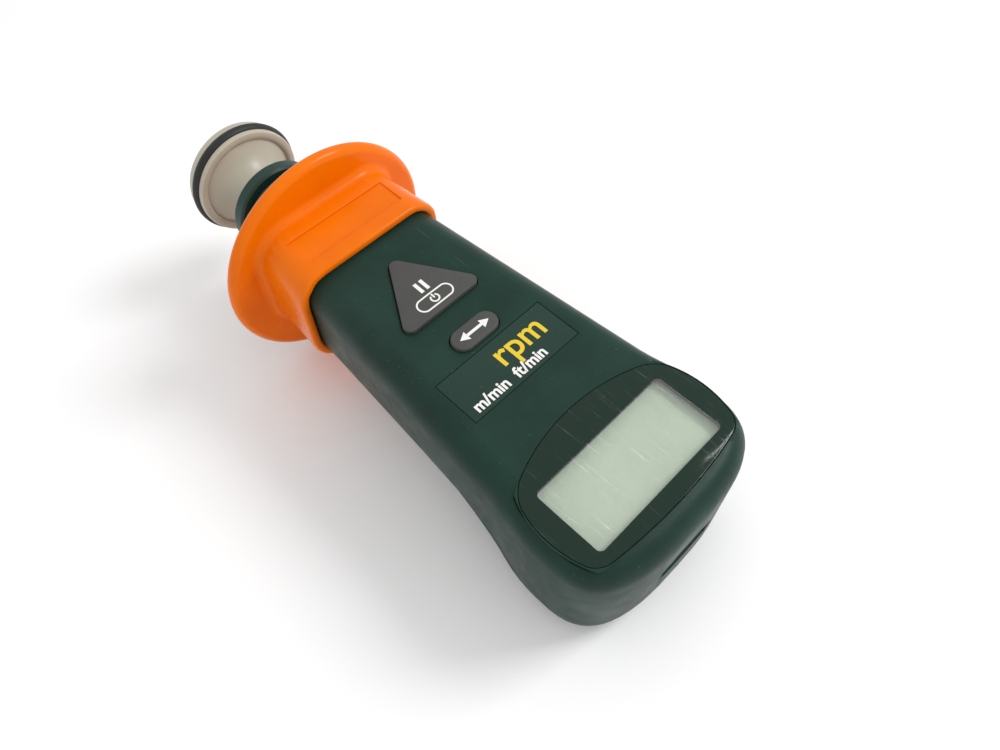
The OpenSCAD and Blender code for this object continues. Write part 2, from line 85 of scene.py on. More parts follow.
# Height of a capital letter as a share of the font's size
CAPITAL_SHARE = 0.7


def at(x: float, y: float, z: float = 0.0) -> Vector:
    """A point given in millimetres from the display's centre, in the frame's metres."""
    return (Vector((x, y, z)) + DISPLAY_MM) * MM


class Pick(Enum):
    """What a mesh selection is made of."""

    VERT = "VERT"
    EDGE = "EDGE"
    FACE = "FACE"


class Cut(Enum):
    """What a tool does to the piece that it meets."""

    JOIN = "UNION"
    AWAY = "DIFFERENCE"


# Shader helpers


def linear(code: str) -> tuple[float, float, float, float]:
    """An sRGB hex colour as the linear colour that a socket takes.

    Args:
        code: Six hex digits after a hash.

    Returns:
        Red, green, blue and alpha.
    """
    parts = [int(code[i : i + 2], 16) / 255 for i in (1, 3, 5)]
    red, green, blue = [p / 12.92 if p <= 0.04045 else ((p + 0.055) / 1.055) ** 2.4 for p in parts]
    return (red, green, blue, 1.0)


def add_node(
    tree: bpy.types.NodeTree, kind: str, inputs: dict | None = None, **settings: object
) -> bpy.types.Node:
    """Adds one shader node, sets its options, and sets or links its inputs.

    Args:
        tree: The material's or the world's node tree.
        kind: The node's type.
        inputs: Value or source socket for each input, by name or number.
        settings: Options of the node itself.

    Returns:
        The new node.
    """
    made = tree.nodes.new(kind)
    for name, value in settings.items():
        setattr(made, name, value)
    for socket, value in (inputs or {}).items():
        if isinstance(value, bpy.types.NodeSocket):
            tree.links.new(value, made.inputs[socket])
        else:
            made.inputs[socket].default_value = value
    return made


def new_material(name: str) -> tuple[bpy.types.Material, bpy.types.NodeTree, bpy.types.NodeSocket]:
    """An empty material, its tree, and the Object coordinates that its patterns read."""
    material = bpy.data.materials.new(name)
    material.use_nodes = True
    tree = material.node_tree
    tree.nodes.clear()
    place = add_node(tree, "ShaderNodeTexCoord").outputs["Object"]
    return material, tree, place


def noise(
    tree: bpy.types.NodeTree,
    place: bpy.types.NodeSocket,
    spacing_mm: float,
    detail: float = 3.0,
    rough: float = 0.5,
) -> bpy.types.NodeSocket:
    """Noise whose blots lie about spacing_mm apart, from 0 to 1."""
    scale = 1 / (spacing_mm * MM)
    inputs = {"Vector": place, "Scale": scale, "Detail": detail, "Roughness": rough}
    made = add_node(tree, "ShaderNodeTexNoise", inputs)
    return made.outputs["Fac"]


def remap(
    tree: bpy.types.NodeTree,
    value: bpy.types.NodeSocket,
    low: float,
    high: float,
    out_low: float,
    out_high: float,
) -> bpy.types.NodeSocket:
    """Value moved from the range low..high to out_low..out_high, and held inside it."""
    made = add_node(
        tree,
        "ShaderNodeMapRange",
        {"Value": value, "From Min": low, "From Max": high, "To Min": out_low, "To Max": out_high},
        clamp=True,
    )
    return made.outputs["Result"]


def mix(
    tree: bpy.types.NodeTree,
    fac: bpy.types.NodeSocket | float,
    first: bpy.types.NodeSocket | tuple,
    second: bpy.types.NodeSocket | tuple,
) -> bpy.types.NodeSocket:
    """Two colours mixed by fac."""
    made = add_node(tree, "ShaderNodeMix", data_type="RGBA")
    for socket, value in ((made.inputs[0], fac), (made.inputs[6], first), (made.inputs[7], second)):
        if isinstance(value, bpy.types.NodeSocket):
            tree.links.new(value, socket)
        else:
            socket.default_value = value
    return made.outputs[2]


def scratches(
    tree: bpy.types.NodeTree, place: bpy.types.NodeSocket, spacing_mm: float, turn: float, share: float
) -> bpy.types.NodeSocket:
    """Fine straight scratches, 1 on a scratch and 0 off it.

    Args:
        tree: The material's tree.
        place: Coordinates in metres.
        spacing_mm: Distance between scratches across their run.
        turn: Angle of their run in degrees, about the face's normal.
        share: How much of the surface they may take, from 0 to 1.

    Returns:
        A socket with the mask.
    """
    across = add_node(
        tree,
        "ShaderNodeMapping",
        {"Vector": place, "Rotation": (0.0, 0.0, math.radians(turn)), "Scale": (1.0, 0.035, 1.0)},
    )
    lines = noise(tree, across.outputs["Vector"], spacing_mm, 2.0, 0.6)
    return remap(tree, lines, 1 - share * 0.5 - 0.12, 1 - share * 0.5, 0.0, 1.0)


# Finishes


@dataclass(frozen=True)
class MouldedPlastic:
    """Injection-moulded plastic with the fine grain that a spark-eroded tool leaves.

    Attributes:
        name: Name of the material, after what the piece is made of.
        colour: Main colour, sRGB hex.
        shade: Colour of the faint blots that handling leaves, sRGB hex.
        roughness: Mean roughness.
        grain_mm: Spacing of the moulded grain.
        grain: Depth of the grain as bump strength, 0 for a polished tool.
        shine: Level of the surface reflection; a fine moulded grain traps part of it.
        coat: Weight of the glossy skin.
        glow: Weight of light scattered inside, for pale plastics.
        wear: Share of rubbed, lighter scuffs.
    """

    name: str
    colour: str
    shade: str
    roughness: float = 0.5
    grain_mm: float = 0.45
    grain: float = 0.12
    shine: float = 0.5
    coat: float = 0.0
    glow: float = 0.0
    wear: float = 0.0

    def make(self) -> bpy.types.Material:
        """Builds the material."""
        material, tree, place = new_material(self.name)
        blots = remap(tree, noise(tree, place, 14.0, 4.0), 0.35, 0.7, 0.0, 1.0)
        colour = mix(tree, blots, linear(self.colour), linear(self.shade))
        if self.wear > 0:
            # Rubbed places are a little paler, as on a tool carried in a bag
            scuffs = scratches(tree, place, 1.1, 38.0, self.wear)
            specks = remap(tree, noise(tree, place, 0.9, 1.0), 0.74, 0.78, 0.0, 0.35)
            both = {0: scuffs, 1: specks}
            marks = add_node(tree, "ShaderNodeMath", both, operation="MAXIMUM").outputs[0]
            faint = remap(tree, marks, 0.0, 1.0, 0.0, 0.22)
            colour = mix(tree, faint, colour, linear("#9aa5a0"))
        dull = noise(tree, place, 5.0, 4.0)
        rough = remap(tree, dull, 0.3, 0.7, self.roughness - 0.05, self.roughness + 0.06)
        normal = add_node(
            tree,
            "ShaderNodeBump",
            {
                "Strength": self.grain,
                "Distance": 0.1 * MM,
                "Height": noise(tree, place, self.grain_mm, 2.0),
            },
        ).outputs["Normal"]
        skin = add_node(
            tree,
            "ShaderNodeBsdfPrincipled",
            {
                "Base Color": colour,
                "Roughness": rough,
                "IOR": 1.5,
                "Specular IOR Level": self.shine,
                "Coat Weight": self.coat,
                "Coat Roughness": 0.12,
                "Subsurface Weight": self.glow,
                "Subsurface Radius": (1.0, 0.6, 0.35),
                "Subsurface Scale": 1.2 * MM,
                "Normal": normal,
            },
        )
        add_node(tree, "ShaderNodeOutputMaterial", {"Surface": skin.outputs[0]})
        return material


@dataclass(frozen=True)
class PlainMetal:
    """Bare metal with the fine turned or rolled lines of its making.

    Attributes:
        name: Name of the material.
        colour: Reflected colour, sRGB hex.
        roughness: Mean roughness.
        line_mm: Spacing of the tool lines.
    """

    name: str
    colour: str
    roughness: float = 0.3
    line_mm: float = 0.15

    def make(self) -> bpy.types.Material:
        """Builds the material."""
        material, tree, place = new_material(self.name)
        lines = noise(tree, place, self.line_mm, 2.0)
        dull = noise(tree, place, 2.0)
        rough = remap(tree, dull, 0.3, 0.7, self.roughness - 0.07, self.roughness + 0.08)
        normal = add_node(
            tree, "ShaderNodeBump", {"Strength": 0.08, "Distance": 0.05 * MM, "Height": lines}
        ).outputs["Normal"]
        skin = add_node(
            tree,
            "ShaderNodeBsdfPrincipled",
            {"Base Color": linear(self.colour), "Metallic": 1.0, "Roughness": rough, "Normal": normal},
        )
        add_node(tree, "ShaderNodeOutputMaterial", {"Surface": skin.outputs[0]})
        return material


@dataclass(frozen=True)
class WindowLens:
    """Clear acrylic sheet, painted on its back round the display window.

    Attributes:
        name: Name of the material.
        paint: Colour of the back paint, sRGB hex.
        half_w_mm: Half width of the clear window.
        half_l_mm: Half length of the clear window.
        corner_mm: Radius of the window's corners.
        soft_mm: Half width of the paint's blurred edge.
    """

    name: str
    paint: str
    half_w_mm: float
    half_l_mm: float
    corner_mm: float = 1.4
    soft_mm: float = 0.05

    def inside(self, tree: bpy.types.NodeTree, place: bpy.types.NodeSocket) -> bpy.types.NodeSocket:
        """1 within the window and 0 on the painted border."""
        split = add_node(tree, "ShaderNodeSeparateXYZ", {0: place})
        outside = []
        for axis, centre, half in ((0, DISPLAY_MM.x, self.half_w_mm), (1, DISPLAY_MM.y, self.half_l_mm)):
            off = add_node(
                tree, "ShaderNodeMath", {0: split.outputs[axis], 1: centre * MM}, operation="SUBTRACT"
            ).outputs[0]
            size = add_node(tree, "ShaderNodeMath", {0: off}, operation="ABSOLUTE").outputs[0]
            past = add_node(
                tree, "ShaderNodeMath", {0: size, 1: (half - self.corner_mm) * MM}, operation="SUBTRACT"
            ).outputs[0]
            held = add_node(tree, "ShaderNodeMath", {0: past, 1: 0.0}, operation="MAXIMUM")
            outside.append(held.outputs[0])
        pair = add_node(tree, "ShaderNodeCombineXYZ", {0: outside[0], 1: outside[1]}).outputs[0]
        reach = add_node(tree, "ShaderNodeVectorMath", {0: pair}, operation="LENGTH").outputs["Value"]
        first, last = ((self.corner_mm + side * self.soft_mm) * MM for side in (-1, 1))
        return remap(tree, reach, first, last, 1.0, 0.0)

    def make(self) -> bpy.types.Material:
        """Builds the material."""
        material, tree, place = new_material(self.name)
        fine = scratches(tree, place, 0.5, 24.0, 0.52)
        cross = scratches(tree, place, 0.8, -52.0, 0.5)
        marks = add_node(tree, "ShaderNodeMath", {0: fine, 1: cross}, operation="MAXIMUM").outputs[0]
        smears = remap(tree, noise(tree, place, 5.0, 5.0, 0.7), 0.42, 0.66, 0.0, 1.0)
        haze = add_node(tree, "ShaderNodeMath", {0: marks, 1: smears}, operation="MULTIPLY").outputs[0]
        rough = remap(tree, haze, 0.0, 1.0, 0.07, 0.4)
        normal = add_node(
            tree, "ShaderNodeBump", {"Strength": 0.25, "Distance": 0.03 * MM, "Height": haze}
        ).outputs["Normal"]
        faint = remap(tree, haze, 0.0, 1.0, 0.0, 0.14)
        painted = add_node(
            tree,
            "ShaderNodeBsdfPrincipled",
            {
                "Base Color": mix(tree, faint, linear(self.paint), linear("#a9b5ae")),
                "Roughness": rough,
                "IOR": 1.49,
                "Specular IOR Level": 0.28,
                "Normal": normal,
            },
        )
        # Thin clear sheet: light passes straight through, and the scuffs lie on it as white haze
        clear = add_node(tree, "ShaderNodeBsdfTransparent", {"Color": linear("#f2f6f2")})
        white = add_node(tree, "ShaderNodeBsdfDiffuse", {"Color": linear("#f4f6f3")})
        thick = remap(tree, haze, 0.0, 1.0, 0.1, 0.5)
        veil = add_node(
            tree, "ShaderNodeMixShader", {0: thick, 1: clear.outputs[0], 2: white.outputs[0]}
        )
        shine = add_node(
            tree,
            "ShaderNodeBsdfGlossy",
            {"Color": linear("#ffffff"), "Roughness": rough, "Normal": normal},
        )
        # A lower IOR than acrylic's 1.49, so that the white room doesn't veil the display
        mirror = add_node(tree, "ShaderNodeFresnel", {"IOR": 1.25, "Normal": normal})
        window = add_node(
            tree, "ShaderNodeMixShader", {0: mirror.outputs[0], 1: veil.outputs[0], 2: shine.outputs[0]}
        )
        both = add_node(
            tree,
            "ShaderNodeMixShader",
            {0: self.inside(tree, place), 1: painted.outputs[0], 2: window.outputs[0]},
        )
        add_node(tree, "ShaderNodeOutputMaterial", {"Surface": both.outputs[0]})
        return material


@dataclass(frozen=True)
class PrintedInk:
    """Screen-printed ink, a thin flat film with tiny pin holes.

    Attributes:
        name: Name of the material.
        colour: Ink colour, sRGB hex.
    """

    name: str
    colour: str

    def make(self) -> bpy.types.Material:
        """Builds the material."""
        material, tree, place = new_material(self.name)
        worn = remap(tree, noise(tree, place, 0.5, 3.0), 0.3, 0.45, 0.82, 1.0)
        shade = mix(tree, worn, linear("#6f6f68"), linear(self.colour))
        inputs = {"Base Color": shade, "Roughness": 0.45, "IOR": 1.5}
        skin = add_node(tree, "ShaderNodeBsdfPrincipled", inputs)
        add_node(tree, "ShaderNodeOutputMaterial", {"Surface": skin.outputs[0]})
        return material


class Finishes:
    """Every finish of the instrument, built once and handed out by name."""

    def __init__(self) -> None:
        """Builds the materials."""
        plastic = MouldedPlastic
        sheets = [
            # Green ABS: deep colour, satin, with a fine moulded grain and bag scuffs
            plastic("green_abs_moulded", "#17362d", "#142d26", 0.42, 0.5, 0.3, shine=0.2, wear=0.3),
            # Green ABS on the round nose, from a smoother tool
            plastic("green_abs_turned", "#1b3a32", "#17332c", 0.4, 0.4, 0.08, shine=0.35),
            # Orange elastomer: glossy and deep in colour, with a low reflection
            plastic("orange_elastomer_glossy", "#ec7100", "#e46b00", 0.24, 1.2, 0.04, shine=0.15),
            # Beige acetal of the wheel: waxy, lets some light in
            plastic("beige_acetal_moulded", "#b8b2a1", "#aea897", 0.36, 0.8, 0.05, glow=0.15),
            # Nitrile rubber ring: near black with a faint bloom
            plastic("black_nitrile_rubber", "#1a1a1c", "#232325", 0.5, 0.3, 0.15, shine=0.4),
            # Dark grey silicone keys: matt and a little powdery
            plastic("grey_silicone_keys", "#4b4b49", "#444442", 0.62, 0.3, 0.14, shine=0.3, wear=0.22),
            # Brown-grey ABS of the door's catch, down in the notch
            plastic("brown_abs_moulded", "#74665d", "#665a52", 0.45, 0.4, 0.12),
            # Label film: smoother than the case round it
            plastic(
                "green_polyester_film", "#1a372e", "#17312a", 0.38, 1.5, 0.03, shine=0.3, wear=0.26
            ),
            # Grey-green liquid-crystal glass with its reflector behind: even and silky
            plastic("liquid_crystal_glass", "#e2e8da", "#d9dfd1", 0.35, 2.0, 0.02, shine=0.3),
            # White ABS of the panel's frame: plain and satin
            plastic("white_abs_moulded", "#d9d7d0", "#cfccc4", 0.5, 0.5, 0.1),
            # Conductive silicone strips: matt pink
            plastic("pink_silicone_strip", "#c98f8a", "#bb827d", 0.6, 0.5, 0.1),
            # Black ABS of switches, sensor and tray: dull, so that it stays in the background
            plastic("black_abs_moulded", "#1d1e1f", "#252627", 0.5, 0.4, 0.15),
            # Red ABS of the plungers: the one bright colour inside
            plastic("red_abs_moulded", "#96281f", "#87231b", 0.5, 0.4, 0.1),
            # Green glass-epoxy laminate under solder mask: a thin gloss over the weave
            plastic("green_glass_epoxy", "#2f6b46", "#28603e", 0.4, 0.8, 0.1, coat=0.2),
            # Printed shrink film round each cell: glossy ochre
            plastic("printed_cell_sleeve", "#b8862c", "#a97a27", 0.35, 1.0, 0.05, coat=0.3),
            # Turned steel: grey, with fine tool lines that stretch the highlights
            PlainMetal("turned_steel", "#b9bcbf", 0.28),
            # Turned brass: warm yellow beside the steel
            PlainMetal("turned_brass", "#c8a24c", 0.3),
            # Nickel plating: a little warmer and smoother than the steel
            PlainMetal("nickel_plated_steel", "#c9c6bd", 0.25),
            # Acrylic sheet painted on its back: a dark glossy border round the clear window
            WindowLens("acrylic_back_painted", "#12291f", 21.0, 9.4),
            # Screen inks: flat, with worn pin holes
            PrintedInk("white_ink", "#ecebe6"),
            PrintedInk("yellow_ink", "#e2c21c"),
        ]
        self.by_name = {sheet.name: sheet.make() for sheet in sheets}

    def give(self, piece: bpy.types.Object, name: str) -> None:
        """Gives a piece one finish all over."""
        piece.data.materials.clear()
        piece.data.materials.append(self.by_name[name])


# Modelling helpers


def select_only(piece: bpy.types.Object) -> None:
    """Makes one object the only selected and the active one."""
    bpy.ops.object.select_all(action="DESELECT")
    piece.select_set(True)
    bpy.context.view_layer.objects.active = piece


def in_edit(piece: bpy.types.Object, kind: Pick, step: Callable[[], None]) -> None:
    """Runs a step in edit mode on what was selected in object mode."""
    select_only(piece)
    bpy.context.tool_settings.mesh_select_mode = tuple(kind is one for one in Pick)
    bpy.ops.object.mode_set(mode="EDIT")
    step()
    bpy.ops.object.mode_set(mode="OBJECT")


def choose(piece: bpy.types.Object, kind: Pick, test: Callable[[object], bool]) -> int:
    """Selects the faces or vertices that pass a test, and nothing else.

    Args:
        piece: The object, in object mode.
        kind: FACE or VERT.
        test: Takes a polygon or a vertex.

    Returns:
        How many were selected.
    """
    mesh = piece.data
    for group in (mesh.polygons, mesh.edges, mesh.vertices):
        group.foreach_set("select", [False] * len(group))
    found = 0
    for item in mesh.polygons if kind is Pick.FACE else mesh.vertices:
        if test(item):
            item.select = True
            found += 1
    return found


def round_edges(
    piece: bpy.types.Object,
    test: Callable[[Vector], bool],
    width: float,
    segments: int,
    degrees: float = 40.0,
) -> int:
    """Bevels the sharp edges whose middle passes a test.

    Args:
        piece: The object, in object mode.
        test: Takes the middle of an edge.
        width: Width of the bevel.
        segments: Facets across the bevel.
        degrees: Smallest turn between the faces of a sharp edge.

    Returns:
        How many edges were bevelled.
    """

    def sharp() -> None:
        bpy.ops.mesh.select_all(action="DESELECT")
        bpy.ops.mesh.edges_select_sharp(sharpness=math.radians(degrees))

    in_edit(piece, Pick.EDGE, sharp)
    mesh = piece.data
    found = []
    for edge in mesh.edges:
        first, second = (mesh.vertices[i].co for i in edge.vertices)
        if edge.select and test((first + second) / 2):
            found.append(edge.index)
    for group in (mesh.polygons, mesh.edges, mesh.vertices):
        group.foreach_set("select", [False] * len(group))
    for index in found:
        mesh.edges[index].select = True
        for corner in mesh.edges[index].vertices:
            mesh.vertices[corner].select = True

    def bevel() -> None:
        bpy.ops.mesh.bevel(offset=width, segments=segments, affect="EDGES", clamp_overlap=False)

    if found:
        in_edit(piece, Pick.EDGE, bevel)
    return len(found)


def shaped(name: str, points: list[Vector]) -> bpy.types.Object:
    """A flat face with its corners at the points, from a circle that is reshaped."""
    bpy.ops.object.select_all(action="DESELECT")
    bpy.ops.mesh.primitive_circle_add(
        vertices=len(points), radius=1.0, fill_type="NGON", location=(0, 0, 0)
    )
    piece = bpy.context.object
    piece.name = name
    piece.data.name = name
    for vertex, point in zip(piece.data.vertices, points):
        vertex.co = point
    return piece


def turned(name: str, profile_mm: list[tuple[float, float]], steps: int = 96) -> bpy.types.Object:
    """A piece turned on the spindle's axis.

    Args:
        name: Name of the piece.
        profile_mm: Closed outline as pairs of radius and distance from the display's centre.
        steps: Facets round the axis.

    Returns:
        The closed piece.
    """
    axis = at(0, 0, -AXIS_DEPTH_MM)
    points = [at(radius, along, -AXIS_DEPTH_MM) for radius, along in profile_mm]
    piece = shaped(name, points)

    def spin() -> None:
        bpy.ops.mesh.select_all(action="SELECT")
        bpy.ops.mesh.delete(type="ONLY_FACE")
        bpy.ops.mesh.select_all(action="SELECT")
        bpy.ops.mesh.spin(steps=steps, angle=2 * math.pi, center=axis, axis=(0, 1, 0))
        bpy.ops.mesh.select_all(action="SELECT")
        bpy.ops.mesh.remove_doubles(threshold=1e-7)
        bpy.ops.mesh.delete_loose(use_verts=True, use_edges=True, use_faces=False)
        bpy.ops.mesh.select_all(action="SELECT")
        bpy.ops.mesh.normals_make_consistent(inside=False)

    in_edit(piece, Pick.VERT, spin)
    return piece


def carve(piece: bpy.types.Object, tool: bpy.types.Object, cut: Cut) -> None:
    """Joins a tool to a piece or cuts it out, and deletes the tool.

    Args:
        piece: The piece that changes.
        tool: A closed mesh.
        cut: Whether the tool is joined on or cut away.
    """
    select_only(piece)
    change = piece.modifiers.new("carve", "BOOLEAN")
    change.operation = cut.value
    change.solver = "EXACT"
    change.object = tool
    bpy.ops.object.modifier_apply(modifier=change.name)
    bpy.data.objects.remove(tool, do_unlink=True)


def smooth(piece: bpy.types.Object, degrees: float = 35.0) -> None:
    """Smooth shading, with creases kept where faces turn by more than degrees."""
    select_only(piece)
    bpy.ops.object.shade_smooth_by_angle(angle=math.radians(degrees))


def cad_copy(frame: dict, node: str, name: str) -> bpy.types.Object:
    """A new object from a merged copy of a CAD node's mesh.

    Args:
        node: The CAD node.
        name: The new piece's name.

    Returns:
        The piece, at the origin, with nothing selected in its mesh.
    """
    source = frame["nodes"][node]
    mesh = source.data.copy()
    mesh.name = name
    piece = bpy.data.objects.new(name, mesh)
    bpy.context.scene.collection.objects.link(piece)

    def merge() -> None:
        bpy.ops.mesh.select_all(action="SELECT")
        bpy.ops.mesh.remove_doubles(threshold=1e-6)
        bpy.ops.mesh.customdata_custom_splitnormals_clear()
        bpy.ops.mesh.dissolve_limited(angle_limit=math.radians(0.3))
        bpy.ops.mesh.select_all(action="DESELECT")

    in_edit(piece, Pick.VERT, merge)
    return piece


def rounded(piece: bpy.types.Object, width: float, segments: int = 3, degrees: float = 32.0) -> None:
    """Rounds the sharp edges of a piece with a bevel that is then applied."""
    select_only(piece)
    bevel = piece.modifiers.new("soft_edges", "BEVEL")
    bevel.width = width
    bevel.segments = segments
    bevel.limit_method = "ANGLE"
    bevel.angle_limit = math.radians(degrees)
    bevel.use_clamp_overlap = True
    bpy.ops.object.modifier_apply(modifier=bevel.name)


def lift(piece: bpy.types.Object, height: float) -> None:
    """Extrudes a flat outline upwards into a thin sheet, and turns its normals outwards."""

    def step() -> None:
        bpy.ops.mesh.select_all(action="SELECT")
        bpy.ops.mesh.extrude_region_move(TRANSFORM_OT_translate={"value": (0, 0, height)})
        bpy.ops.mesh.select_all(action="SELECT")
        bpy.ops.mesh.normals_make_consistent(inside=False)

    in_edit(piece, Pick.FACE, step)


def settle(piece: bpy.types.Object) -> None:
    """Moves an object's place, turn and scale into its mesh."""
    select_only(piece)
    bpy.ops.object.transform_apply(location=True, rotation=True, scale=True)


def joined(name: str, pieces: list[bpy.types.Object]) -> bpy.types.Object:
    """Joins several meshes into one piece with that name."""
    bpy.ops.object.select_all(action="DESELECT")
    for piece in pieces:
        piece.select_set(True)
    bpy.context.view_layer.objects.active = pieces[0]
    bpy.ops.object.join()
    pieces[0].name = name
    pieces[0].data.name = name
    return pieces[0]


# Sub-assemblies


@dataclass
class Case:
    """The two-part green case, softened at its edges.

    Attributes:
        display: The lens that lies in the front shell.
        edge_mm: Radius of the small moulded edges.
    """

    display: Display
    edge_mm: float = 0.3

    def build(self, frame: dict, finishes: Finishes) -> list[bpy.types.Object]:
        """Dresses both shells.

        Args:
            finishes: The materials.

        Returns:
            The new pieces.
        """
        made = []
        for node, name in (("front_housing", "front_shell"), ("rear_housing", "rear_shell")):
            shell = cad_copy(frame, node, name)
            if node == "front_housing":
                self.display.seat(shell)
            rounded(shell, self.edge_mm * MM, 2)
            smooth(shell, 30.0)
            finishes.give(shell, "green_abs_moulded")
            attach(shell, "housing")
            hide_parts(node)
            made.append(shell)
        return made


@dataclass
class Display:
    """The lens over the display window, with the corners of its seat in the front shell.

    Attributes:
        edge_mm: Radius of the lens's polished edge.
        corner_mm: Radius of the lens's four corners.
        gap_mm: Gap between the lens and its seat.
        wall_mm: How far the seat's fill reaches into the shell.
        inner_corner_mm: Radius of the fill's outer corners, inside the shell.
        front_arc_mm: Centre and radius of the outline's arc towards the keys.
        rear_arc_mm: Centre and radius of its arc towards the rear end.
        side_arc_mm: Centre and radius of its left arc; the right one mirrors it.
        steps: Points round the lens.
        halvings: Steps of the search along each direction.
    """

    edge_mm: float = 0.25
    corner_mm: float = 2.4
    gap_mm: float = 0.13
    wall_mm: float = 0.25
    inner_corner_mm: float = 0.4
    front_arc_mm: tuple[float, float, float] = (0.0, -34.7, 53.0)
    rear_arc_mm: tuple[float, float, float] = (0.0, 126.2, 140.0)
    side_arc_mm: tuple[float, float, float] = (-0.2, 0.4, 27.0)
    steps: int = 240
    halvings: int = 30

    def reach(self, point: Vector, corner_mm: float) -> float:
        """Signed distance from the lens's outline, made of four arcs with rounded corners.

        Args:
            point: Place from the display's centre, in millimetres.
            corner_mm: Radius of the corners.

        Returns:
            The distance in millimetres, negative inside.
        """
        folded = Vector((abs(point.x), point.y))
        front, rear, sides = (
            (folded - Vector(arc[:2])).length - arc[2]
            for arc in (self.front_arc_mm, self.rear_arc_mm, self.side_arc_mm)
        )
        ends = max(front, rear)
        over = Vector((max(ends + corner_mm, 0.0), max(sides + corner_mm, 0.0)))
        if over.x > 0 and over.y > 0:
            return over.length - corner_mm
        return max(ends, sides)

    def outline(self, height: float, grow_mm: float, corner_mm: float) -> list[Vector]:
        """The outline moved outwards, found by halving along each direction.

        Args:
            height: Where the outline lies, in metres of the frame.
            grow_mm: How far it is moved outwards.
            corner_mm: Radius of its corners before that.

        Returns:
            One point for each step round the lens.
        """
        found = []
        for step in range(self.steps):
            turn = 2 * math.pi * step / self.steps
            way = Vector((math.cos(turn), math.sin(turn)))
            low, high = 0.0, self.side_arc_mm[2] * 1.5
            for _ in range(self.halvings):
                half = (low + high) / 2
                inside = self.reach(way * half, corner_mm) < grow_mm
                low, high = (half, high) if inside else (low, half)
            place = at(way.x * low, way.y * low)
            found.append(Vector((place.x, place.y, height)))
        return found

    def seat(self, shell: bpy.types.Object) -> None:
        """Fills the corners of the lens's seat in the front shell.

        Args:
            shell: The front shell, before its edges are rounded.
        """
        low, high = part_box("display_lens")[0][2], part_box("front_housing")[1][2]
        fill = shaped("seat_fill", self.outline(low, self.wall_mm, self.inner_corner_mm))
        lift(fill, high - low)
        hole = shaped("seat_hole", self.outline(low - MM, self.gap_mm, self.corner_mm))
        lift(hole, high - low + 2 * MM)
        carve(fill, hole, Cut.AWAY)
        carve(shell, fill, Cut.JOIN)

    def build(self, frame: dict, finishes: Finishes) -> list[bpy.types.Object]:
        """Shapes the lens."""
        low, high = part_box("display_lens")[0][2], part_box("display_lens")[1][2]
        lens = shaped("window_lens", self.outline(low, 0.0, self.corner_mm))
        lift(lens, high - low)
        rounded(lens, self.edge_mm * MM, 3, 60.0)
        smooth(lens, 30.0)
        finishes.give(lens, "acrylic_back_painted")
        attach(lens, "housing")
        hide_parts("display_lens")
        return [lens]


